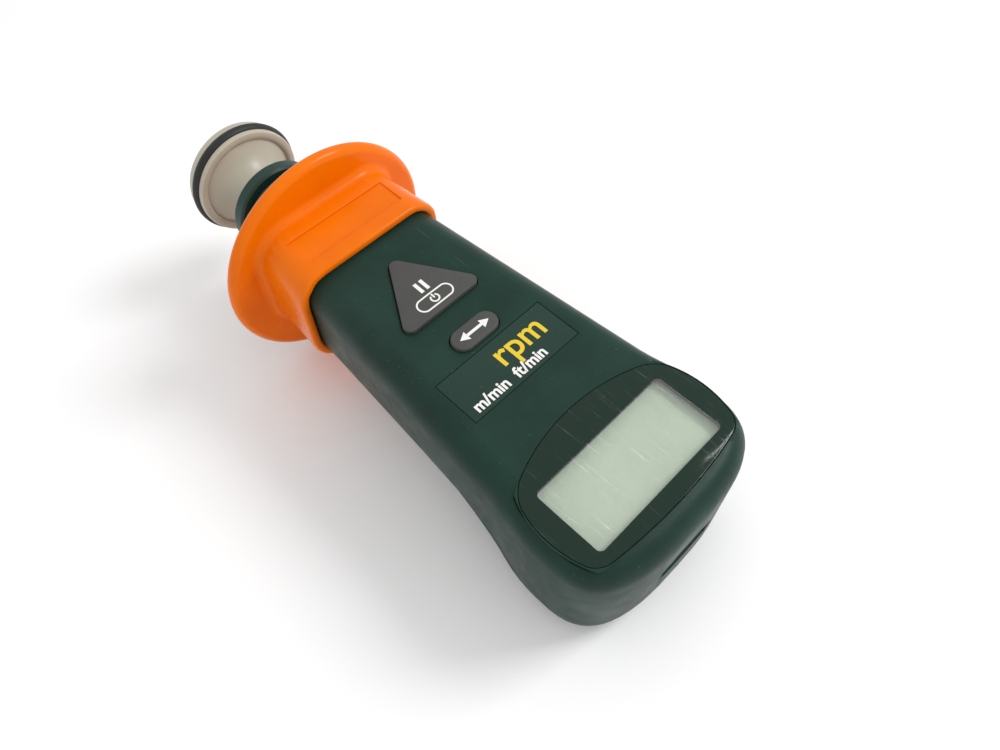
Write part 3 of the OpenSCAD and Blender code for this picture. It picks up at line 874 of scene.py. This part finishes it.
@dataclass
class Keys:
    """The two keys with their printed signs.

    Attributes:
        edge_mm: Radius of a key's upper edge.
        ink_mm: Thickness of the print.
        line_mm: Width of a printed line.
        power_y_mm: Rear edge of the three-cornered key.
        unit_y_mm: Middle of the round-ended key.
        pill_up_mm: How far the pill outline's middle lies from that rear edge.
        pill_r_mm: Radius of the pill outline's ends.
        pill_l_mm: Length of its straight sides.
        standby_r_mm: Radius of the standby sign inside the outline.
        pause_up_mm: How far the pause bars' middle lies from the rear edge.
        pause_out_mm: How far each pause bar lies from the middle line.
        pause_bar_mm: Width and length of a pause bar.
        arrow_bar_mm: Length and width of the two-way arrow's shaft.
        arrow_tip_mm: How far each arrow head lies from the key's middle.
        arrow_head_mm: Radius of the circle round an arrow head.
    """

    edge_mm: float = 0.5
    ink_mm: float = 0.03
    line_mm: float = 0.45
    power_y_mm: float = 59.5
    unit_y_mm: float = 49.3
    pill_up_mm: float = 3.9
    pill_r_mm: float = 2.2
    pill_l_mm: float = 7.0
    standby_r_mm: float = 1.35
    pause_up_mm: float = 9.0
    pause_out_mm: float = 0.95
    pause_bar_mm: tuple[float, float] = (1.0, 3.6)
    arrow_bar_mm: tuple[float, float] = (5.0, 0.8)
    arrow_tip_mm: float = 3.2
    arrow_head_mm: float = 1.6

    def top(self, node: str) -> float:
        """Height of a key's upper face in millimetres from the display's face."""
        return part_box(node)[1][2] / MM - DISPLAY_MM.z

    def ring(
        self, name: str, centre: Vector, radius_mm: float, stretch_mm: float = 0.0
    ) -> bpy.types.Object:
        """A printed ring, or with a stretch a long round-ended one.

        Args:
            name: Name of the piece.
            centre: Its centre.
            radius_mm: Outer radius.
            stretch_mm: How much longer than wide it is.

        Returns:
            The ring, as a thin sheet.
        """
        bpy.ops.object.select_all(action="DESELECT")
        bpy.ops.mesh.primitive_circle_add(
            vertices=32, radius=radius_mm * MM, fill_type="NGON", location=centre
        )
        ring = bpy.context.object
        ring.name = name
        settle(ring)
        for side in (-1, 1):
            choose(ring, Pick.VERT, lambda v, s=side: (v.co.x - centre.x) * s > 1e-6)
            shift = (side * stretch_mm * MM / 2, 0, 0)
            in_edit(ring, Pick.VERT, lambda by=shift: bpy.ops.transform.translate(value=by))

        def hollow() -> None:
            bpy.ops.mesh.select_all(action="SELECT")
            bpy.ops.mesh.inset(thickness=self.line_mm * MM, depth=0)
            bpy.ops.mesh.delete(type="FACE")

        in_edit(ring, Pick.FACE, hollow)
        lift(ring, self.ink_mm * MM)
        return ring

    def bar(self, centre: Vector, width_mm: float, length_mm: float) -> bpy.types.Object:
        """A printed straight bar."""
        bpy.ops.object.select_all(action="DESELECT")
        bpy.ops.mesh.primitive_cube_add(size=1, location=centre + Vector((0, 0, self.ink_mm * MM / 2)))
        bar = bpy.context.object
        bar.scale = (width_mm * MM, length_mm * MM, self.ink_mm * MM)
        settle(bar)
        return bar

    def arrow_head(self, tip: Vector, side: int, size_mm: float) -> bpy.types.Object:
        """A printed three-cornered arrow head pointing along X."""
        bpy.ops.object.select_all(action="DESELECT")
        bpy.ops.mesh.primitive_circle_add(
            vertices=3,
            radius=size_mm * MM,
            fill_type="NGON",
            location=tip,
            rotation=(0, 0, -side * math.pi / 2),
        )
        head = bpy.context.object
        settle(head)
        lift(head, self.ink_mm * MM)
        return head

    def standby(self, centre: Vector, radius_mm: float) -> list[bpy.types.Object]:
        """The common standby sign: an open ring and a bar through its gap."""
        ring = self.ring("standby_ring", centre, radius_mm)
        gap = radius_mm * 0.42 * MM

        def in_gap(face: object) -> bool:
            off = face.center - centre
            return off.y > 0 and abs(off.x) < gap

        choose(ring, Pick.FACE, in_gap)
        in_edit(ring, Pick.FACE, lambda: bpy.ops.mesh.delete(type="FACE"))
        bar = self.bar(centre + Vector((0, radius_mm * 0.62 * MM, 0)), self.line_mm, radius_mm * 1.05)
        return [ring, bar]

    def build(self, frame: dict, finishes: Finishes) -> list[bpy.types.Object]:
        """Dresses the keys and prints their signs."""
        made = []
        for node, name, body in (
            ("power_key", "power_key_cap", "power_key_group"),
            ("unit_key", "unit_key_cap", "unit_key_group"),
        ):
            key = cad_copy(frame, node, name)
            rounded(key, self.edge_mm * MM, 4, 50.0)
            smooth(key, 30.0)
            finishes.give(key, "grey_silicone_keys")
            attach(key, body)
            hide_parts(node)
            made.append(key)
        height = self.top("power_key")
        sign_at = at(0, self.power_y_mm + self.pill_up_mm, height)
        signs = [self.ring("power_pill", sign_at, self.pill_r_mm, self.pill_l_mm)]
        signs += self.standby(sign_at, self.standby_r_mm)
        for side in (-1, 1):
            bar_at = at(side * self.pause_out_mm, self.power_y_mm + self.pause_up_mm, height)
            signs.append(self.bar(bar_at, *self.pause_bar_mm))
        power_print = joined("power_key_print", signs)
        finishes.give(power_print, "white_ink")
        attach(power_print, "power_key_group")
        made.append(power_print)
        height = self.top("unit_key")
        signs = [self.bar(at(0, self.unit_y_mm, height), *self.arrow_bar_mm)]
        for side in (-1, 1):
            tip = at(side * self.arrow_tip_mm, self.unit_y_mm, height)
            signs.append(self.arrow_head(tip, side, self.arrow_head_mm))
        unit_print = joined("unit_key_print", signs)
        finishes.give(unit_print, "white_ink")
        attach(unit_print, "unit_key_group")
        made.append(unit_print)
        return made


@dataclass
class Label:
    """The label film with its plain printed units.

    Attributes:
        large_mm: Letter height of the main unit.
        small_mm: Letter height of the second line.
        ink_mm: Thickness of the print.
        bold_mm: How much the letters' outlines are widened.
        large_at_mm: Place of the main unit from the label's middle.
        small_at_mm: Place of the second line from the label's middle.
    """

    large_mm: float = 6.6
    small_mm: float = 3.0
    ink_mm: float = 0.02
    bold_mm: float = 0.12
    large_at_mm: tuple[float, float] = (5.5, 2.0)
    small_at_mm: tuple[float, float] = (-3.5, -4.2)

    def words(self, text: str, size_mm: float, centre: Vector, name: str) -> bpy.types.Object:
        """Printed letters, centred on a point.

        Args:
            text: What is printed.
            size_mm: Height of a capital letter.
            centre: Middle of the print.
            name: Name of the piece.

        Returns:
            The letters as one thin mesh.
        """
        bpy.ops.object.select_all(action="DESELECT")
        bpy.ops.object.text_add(location=centre)
        letters = bpy.context.object
        letters.data.body = text
        letters.data.size = size_mm * MM / CAPITAL_SHARE
        letters.data.align_x = "CENTER"
        letters.data.align_y = "CENTER"
        letters.data.resolution_u = 4
        letters.data.offset = self.bold_mm * MM
        letters.data.extrude = self.ink_mm * MM
        bpy.ops.object.convert(target="MESH")
        settle(letters)
        letters.name = name

        def merge() -> None:
            bpy.ops.mesh.select_all(action="SELECT")
            bpy.ops.mesh.remove_doubles(threshold=1e-7)
            bpy.ops.mesh.normals_make_consistent(inside=False)

        in_edit(letters, Pick.VERT, merge)
        return letters

    def build(self, frame: dict, finishes: Finishes) -> list[bpy.types.Object]:
        """Prints the label."""
        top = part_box("label_plate")[1][2] / MM - DISPLAY_MM.z
        low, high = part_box("label_plate")
        middle = (low[1] + high[1]) / 2 / MM - DISPLAY_MM.y
        yellow_at, white_at = (
            at(right, middle + up, top) for right, up in (self.large_at_mm, self.small_at_mm)
        )
        yellow = self.words("rpm", self.large_mm, yellow_at, "label_print_yellow")
        white = self.words("m/min  ft/min", self.small_mm, white_at, "label_print_white")
        finishes.give(yellow, "yellow_ink")
        finishes.give(white, "white_ink")
        for piece in (yellow, white):
            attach(piece, "housing")
        return [yellow, white]


@dataclass
class Guard:
    """The orange guard: a sleeve over the nose end of the case with a round disc in front.

    Attributes:
        edge_mm: Radius of the sleeve's rear edges.
        top_mm: Height of the sleeve's flat top over the display's face.
        rim_mm: Radius of the sunk panel's upper edges.
        disc_mm: Where the disc's rear face stands, from the display's centre.
        panel_clear_mm: Distance from the disc's front face that the panel's edges keep.
        blend_mm: Radius of the hollow fillet between the sleeve and the disc.
        sink_mm: How deep the fillet's ring lies in both.
        beyond_mm: Distance from the axis at which the search for the sleeve starts.
        steps: Points round the sleeve.
        arc: Facets across the fillet.
    """

    edge_mm: float = 1.0
    top_mm: float = 2.6
    rim_mm: float = 0.3
    disc_mm: float = 109.2
    panel_clear_mm: float = 9.0
    blend_mm: float = 2.6
    sink_mm: float = 0.3
    beyond_mm: float = 40.0
    steps: int = 128
    arc: int = 8

    def outline(self, tree: BVHTree, along_mm: float) -> list[Vector]:
        """The sleeve's outer surface at one place, met from outside towards the axis.

        Args:
            tree: The guard's surface.
            along_mm: Distance from the display's centre.

        Returns:
            One point for each step round the axis.
        """
        axis = at(0, along_mm, -AXIS_DEPTH_MM)
        found = []
        for step in range(self.steps):
            turn = 2 * math.pi * step / self.steps
            way = Vector((math.cos(turn), 0.0, math.sin(turn)))
            found.append(tree.ray_cast(axis + way * self.beyond_mm * MM, -way)[0])
        return found

    def fillet(self, guard: bpy.types.Object) -> bpy.types.Object:
        """A ring that fills the corner between the sleeve and the disc.

        Args:
            guard: The sleeve and its disc.

        Returns:
            The closed ring, sunk a little into both.
        """
        tree = BVHTree.FromObject(guard, bpy.context.evaluated_depsgraph_get())
        near = self.outline(tree, self.disc_mm - 0.05)
        far = self.outline(tree, self.disc_mm - self.blend_mm)
        radius, sink = self.blend_mm, self.sink_mm
        arc = [math.radians(90.0 * step / self.arc) for step in range(self.arc + 1)]
        outline = [(radius * (1 - math.cos(t)), radius * (1 - math.sin(t))) for t in arc]
        outline += [(radius, -sink), (-sink, -sink), (-sink, radius)]
        around = len(outline)
        bpy.ops.object.select_all(action="DESELECT")
        bpy.ops.mesh.primitive_torus_add(
            major_segments=self.steps,
            minor_segments=around,
            major_radius=self.beyond_mm * MM,
            minor_radius=radius * MM,
        )
        ring = bpy.context.object
        ring.name = "sleeve_fillet"
        for step in range(self.steps):
            run = near[(step + 1) % self.steps] - near[step - 1]
            out = Vector((run.z, 0.0, -run.x)).normalized()
            for place, (away, back) in enumerate(outline):
                share = min(1.0, max(0.0, back / radius))
                wall = near[step].lerp(far[step], share)
                wall.y = (self.disc_mm - back) * MM + DISPLAY_MM.y * MM
                ring.data.vertices[step * around + place].co = wall + out * away * MM

        def outward() -> None:
            bpy.ops.mesh.select_all(action="SELECT")
            bpy.ops.mesh.normals_make_consistent(inside=False)

        in_edit(ring, Pick.FACE, outward)
        return ring

    def build(self, frame: dict, finishes: Finishes) -> list[bpy.types.Object]:
        """Dresses the guard."""
        guard = cad_copy(frame, "guard", "finger_guard")
        carve(guard, self.fillet(guard), Cut.JOIN)
        low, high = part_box("guard")
        rear, top = low[1], at(0, 0, self.top_mm).z
        panel_end = high[1] - self.panel_clear_mm * MM

        def at_rear(middle: Vector) -> bool:
            return abs(middle.y - rear) < 0.05 * MM

        def on_panel(middle: Vector) -> bool:
            return abs(middle.z - top) < 0.02 * MM and middle.y < panel_end

        round_edges(guard, at_rear, self.edge_mm * MM, 5, 60.0)
        round_edges(guard, on_panel, self.rim_mm * MM, 3, 60.0)
        smooth(guard, 35.0)
        finishes.give(guard, "orange_elastomer_glossy")
        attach(guard, "housing")
        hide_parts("guard")
        return [guard]


@dataclass
class Nose:
    """The round nose and the dished contact wheel ahead of it, both turned forms.

    Attributes:
        hub_mm: Radius of the wheel's hub.
        hub_l_mm: Length of the hub's straight stretch.
        bore_mm: Radius of its bore.
        web_mm: Distance from the wheel's front to the bore's end.
        wheel_w_mm: Width of the wheel over its rims.
        rim_mm: Radius of its two rims.
        ring_mm: Width of the flat ring round the dish.
        dish_in_mm: Depth of the dish's edge behind that ring.
        dish_curve: Power of the curve from the hub to the dish's edge.
        groove_at_mm: Radius on which the tyre's round groove is centred.
        groove_mm: Radius of the groove.
        swell_mm: Radius of the nose between the guard and the collar.
        swell_t_mm: Thickness of the ring that swells it.
        gap_mm: Width of the dark groove before the collar.
        chamfer_mm: Chamfer of the nose at that groove.
        steps: Facets round the axis.
    """

    hub_mm: float = 6.2
    hub_l_mm: float = 1.7
    bore_mm: float = 2.52
    web_mm: float = 5.0
    wheel_w_mm: float = 7.4
    rim_mm: float = 16.9
    ring_mm: float = 2.6
    dish_in_mm: float = 0.9
    dish_curve: float = 3.2
    groove_at_mm: float = 16.2
    groove_mm: float = 1.72
    swell_mm: float = 12.8
    swell_t_mm: float = 2.2
    gap_mm: float = 1.2
    chamfer_mm: float = 0.3
    steps: int = 128

    @staticmethod
    def along(node: str, end: int) -> float:
        """Where a node starts (0) or ends (1) along the axis, from the display's centre."""
        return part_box(node)[end][1] / MM - DISPLAY_MM.y

    def back(self, rear: float, face: float) -> list[tuple[float, float]]:
        """The wheel's rear side from its bore to the rear rim.

        Args:
            rear: Where the hub starts.
            face: Where the rear rim's flat ring stands.

        Returns:
            Pairs of radius and place along the axis.
        """
        dish = self.rim_mm - self.ring_mm
        start, end = rear + self.hub_l_mm, face + self.dish_in_mm
        outline = [(self.bore_mm, rear), (self.hub_mm, rear)]
        for share in (step / 14 for step in range(15)):
            radius = self.hub_mm + (dish - self.hub_mm) * share**self.dish_curve
            outline.append((radius, start + (end - start) * share))
        outline += [(dish + 0.4, face + 0.2), (dish + 0.9, face), (self.rim_mm - 0.7, face)]
        return outline + [(self.rim_mm - 0.2, face + 0.2), (self.rim_mm, face + 0.7)]

    def groove(self, centre: float) -> list[tuple[float, float]]:
        """The tyre's groove, as an arc between the two rims."""
        half_open = math.acos((self.rim_mm - self.groove_at_mm) / self.groove_mm)
        turns = [-half_open - (2 * math.pi - 2 * half_open) * step / 12 for step in range(13)]
        return [
            (self.groove_at_mm + self.groove_mm * math.cos(t), centre + self.groove_mm * math.sin(t))
            for t in turns
        ]

    def wheel_outline(self) -> list[tuple[float, float]]:
        """Half of the wheel's section: rear side, the tyre's groove, front rim and front."""
        rear, front = self.along("measuring_wheel", 0), self.along("measuring_wheel", 1)
        tyre = (self.along("wheel_tyre", 0) + self.along("wheel_tyre", 1)) / 2
        outline = self.back(rear, front - self.wheel_w_mm) + self.groove(tyre)
        outline += [(self.rim_mm, front - 0.8), (self.rim_mm - 0.3, front - 0.2)]
        outline += [(self.rim_mm - 0.9, front), (self.rim_mm - 3.2, front)]
        outline += [(self.rim_mm - 4, front - 2), (4.6, front - 2), (4.2, front - 1), (0.0, front - 1)]
        return outline + [(0.0, front - self.web_mm), (self.bore_mm, front - self.web_mm)]

    def build(self, frame: dict, finishes: Finishes) -> list[bpy.types.Object]:
        """Shapes the wheel and swells the nose.

        Args:
            finishes: The materials.

        Returns:
            The new pieces.
        """
        wheel = turned("contact_wheel", self.wheel_outline(), self.steps)
        smooth(wheel, 40.0)
        finishes.give(wheel, "beige_acetal_moulded")
        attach(wheel, "wheel_group")
        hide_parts("measuring_wheel")
        nose = cad_copy(frame, "nose_barrel", "nose_tube")
        rear = self.along("guard", 1) + 0.1
        front = self.along("nose_collar", 0) - self.gap_mm
        outer, core = self.swell_mm, self.swell_mm - self.swell_t_mm
        outline = [(core, rear), (outer, rear), (outer, front - self.chamfer_mm)]
        outline += [(outer - self.chamfer_mm, front), (core, front)]
        carve(nose, turned("nose_swell", outline, self.steps), Cut.JOIN)
        smooth(nose, 30.0)
        finishes.give(nose, "green_abs_turned")
        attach(nose, "housing")
        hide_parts("nose_barrel")
        return [wheel, nose]


# CAD nodes that keep their own mesh, with the finish each gets
CARRIED = {
    "lcd_panel": "liquid_crystal_glass",
    "lcd_frame": "white_abs_moulded",
    "lcd_connectors": "pink_silicone_strip",
    "label_plate": "green_polyester_film",
    "power_plunger": "red_abs_moulded",
    "unit_plunger": "red_abs_moulded",
    "key_switches": "black_abs_moulded",
    "circuit_board": "green_glass_epoxy",
    "processor_chip": "black_abs_moulded",
    "crystal": "nickel_plated_steel",
    "board_screws": "turned_steel",
    "optical_sensor": "black_abs_moulded",
    "spindle": "turned_steel",
    "encoder_disc": "nickel_plated_steel",
    "disc_hub": "turned_brass",
    "spindle_clip": "turned_steel",
    "rear_bearing": "turned_steel",
    "front_bearing": "turned_steel",
    "bearing_clip": "turned_steel",
    "nose_collar": "green_abs_turned",
    "wheel_tyre": "black_nitrile_rubber",
    "battery_tray": "black_abs_moulded",
    "battery_door": "green_abs_moulded",
    "door_latch": "brown_abs_moulded",
    "contact_plates": "nickel_plated_steel",
    "contact_springs": "nickel_plated_steel",
    "battery_cell_1": "printed_cell_sleeve",
    "battery_cell_2": "printed_cell_sleeve",
    "battery_cell_3": "printed_cell_sleeve",
    "battery_cell_4": "printed_cell_sleeve",
    "housing_screws": "nickel_plated_steel",
}


class Mechanism:
    """The pieces that the solids already show well: only their finish is new."""

    def build(self, frame: dict, finishes: Finishes) -> None:
        """Gives each carried-over node its finish."""
        for node, finish in CARRIED.items():
            finishes.give(frame["nodes"][node], finish)


# Stage


@dataclass
class Studio:
    """Pale floor, soft light and the camera at the photograph's angle.

    Attributes:
        azimuth: Camera's turn about the vertical, in degrees.
        elevation: Camera's height above the horizon, in degrees.
        roll: Camera's turn about its own axis, in degrees.
        lens_mm: Focal length on a 36 mm sensor.
        floor_m: Half width of the floor.
        camera_at_mm: Place of the camera, fitted to the photograph.
        disc_mid_mm: Middle of the guard's disc behind its front face.
        head_in_mm: Where the head touches the floor, from the rear end.
        floor_gap_mm: Gap that keeps the floor clear of the object.
        lamp_at_m: Place of the soft lamp.
        lamp_m: Its side.
        lamp_w: Its power.
        sky: Strength of the light from all round.
    """

    azimuth: float = -44.7
    elevation: float = 57.69
    roll: float = -0.76
    lens_mm: float = 28.33
    floor_m: float = 1.6
    camera_at_mm: tuple[float, float, float] = (-74.28, -103.28, 208.66)
    disc_mid_mm: float = 2.2
    head_in_mm: float = 5.0
    floor_gap_mm: float = 0.1
    lamp_at_m: tuple[float, float, float] = (0.66, -0.38, 0.85)
    lamp_m: float = 0.36
    lamp_w: float = 5.6
    sky: float = 0.85

    def camera(self) -> None:
        """Places the camera and makes it the scene's."""
        data = bpy.data.cameras.new("camera")
        data.lens = self.lens_mm
        data.sensor_width = 36.0
        data.clip_start = 0.005
        data.clip_end = 20.0
        camera = bpy.data.objects.new("camera", data)
        bpy.context.scene.collection.objects.link(camera)
        a, e, r = (math.radians(v) for v in (self.azimuth, self.elevation, self.roll))
        back = Vector((math.sin(a) * math.cos(e), -math.cos(a) * math.cos(e), math.sin(e)))
        right = Vector((math.cos(a), math.sin(a), 0.0))
        up = back.cross(right)
        turned_right = right * math.cos(r) + up * math.sin(r)
        turned_up = up * math.cos(r) - right * math.sin(r)
        camera.matrix_world = Matrix.Translation(Vector(self.camera_at_mm) * MM) @ Matrix(
            (turned_right, turned_up, back)
        ).transposed().to_4x4()
        bpy.context.scene.camera = camera

    def floor(self) -> None:
        """A pale floor that touches the head's underside and the guard's disc."""
        low_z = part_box("guard")[0][2]
        disc_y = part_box("guard")[1][1] - self.disc_mid_mm * MM
        head_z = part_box("battery_door")[0][2]
        head_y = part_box("battery_door")[0][1] + self.head_in_mm * MM
        tilt = math.atan2(low_z - head_z, disc_y - head_y)
        bpy.ops.object.select_all(action="DESELECT")
        bpy.ops.mesh.primitive_plane_add(
            size=2 * self.floor_m, location=(0, 0, 0), rotation=(tilt, 0, 0)
        )
        floor = bpy.context.object
        floor.name = "floor"
        floor.location = (0, 0, low_z - math.tan(tilt) * disc_y - self.floor_gap_mm * MM)
        settle(floor)
        material, tree, place = new_material("matt_white_sheet")
        paper = remap(tree, noise(tree, place, 60.0, 3.0), 0.3, 0.7, 0.0, 1.0)
        shade = mix(tree, paper, linear("#fafafa"), linear("#fdfdfd"))
        skin = add_node(tree, "ShaderNodeBsdfPrincipled", {"Base Color": shade, "Roughness": 0.8})
        add_node(tree, "ShaderNodeOutputMaterial", {"Surface": skin.outputs[0]})
        floor.data.materials.append(material)

    def lamp(self, name: str, place: tuple, size: float, power: float, target: Vector) -> None:
        """A square soft lamp that looks at a point."""
        data = bpy.data.lights.new(name, "AREA")
        data.shape = "SQUARE"
        data.size = size
        data.energy = power
        lamp = bpy.data.objects.new(name, data)
        bpy.context.scene.collection.objects.link(lamp)
        lamp.location = place
        lamp.rotation_euler = (target - Vector(place)).to_track_quat("-Z", "Y").to_euler()

    def light(self) -> None:
        """World light and one soft lamp, kept out of the window's mirror direction."""
        world = bpy.data.worlds.new("studio")
        bpy.context.scene.world = world
        world.use_nodes = True
        tree = world.node_tree
        tree.nodes.clear()
        path = add_node(tree, "ShaderNodeLightPath")
        lit = add_node(tree, "ShaderNodeBackground", {"Color": linear("#ffffff"), "Strength": self.sky})
        seen = add_node(tree, "ShaderNodeBackground", {"Color": linear("#ffffff"), "Strength": 1.0})
        both = add_node(
            tree,
            "ShaderNodeMixShader",
            {0: path.outputs["Is Camera Ray"], 1: lit.outputs[0], 2: seen.outputs[0]},
        )
        add_node(tree, "ShaderNodeOutputWorld", {"Surface": both.outputs[0]})
        middle = Vector((0, 0, 0.03))
        self.lamp("window_light", self.lamp_at_m, self.lamp_m, self.lamp_w, middle)

    def build(self) -> None:
        """Sets the stage."""
        self.floor()
        self.camera()
        self.light()
        bpy.context.scene.view_settings.view_transform = "Standard"


def main() -> None:
    """Builds the dressed model round its frame."""
    logging.basicConfig(level=logging.INFO, format="%(name)s: %(message)s")
    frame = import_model()
    finishes = Finishes()
    display = Display()
    Mechanism().build(frame, finishes)
    for part in (Case(display), display, Keys(), Label(), Guard(), Nose()):
        for piece in part.build(frame, finishes):
            LOG.info("%s: %s, %d faces", type(part).__name__, piece.name, len(piece.data.polygons))
    Studio().build()


if __name__ == "__main__":
    main()
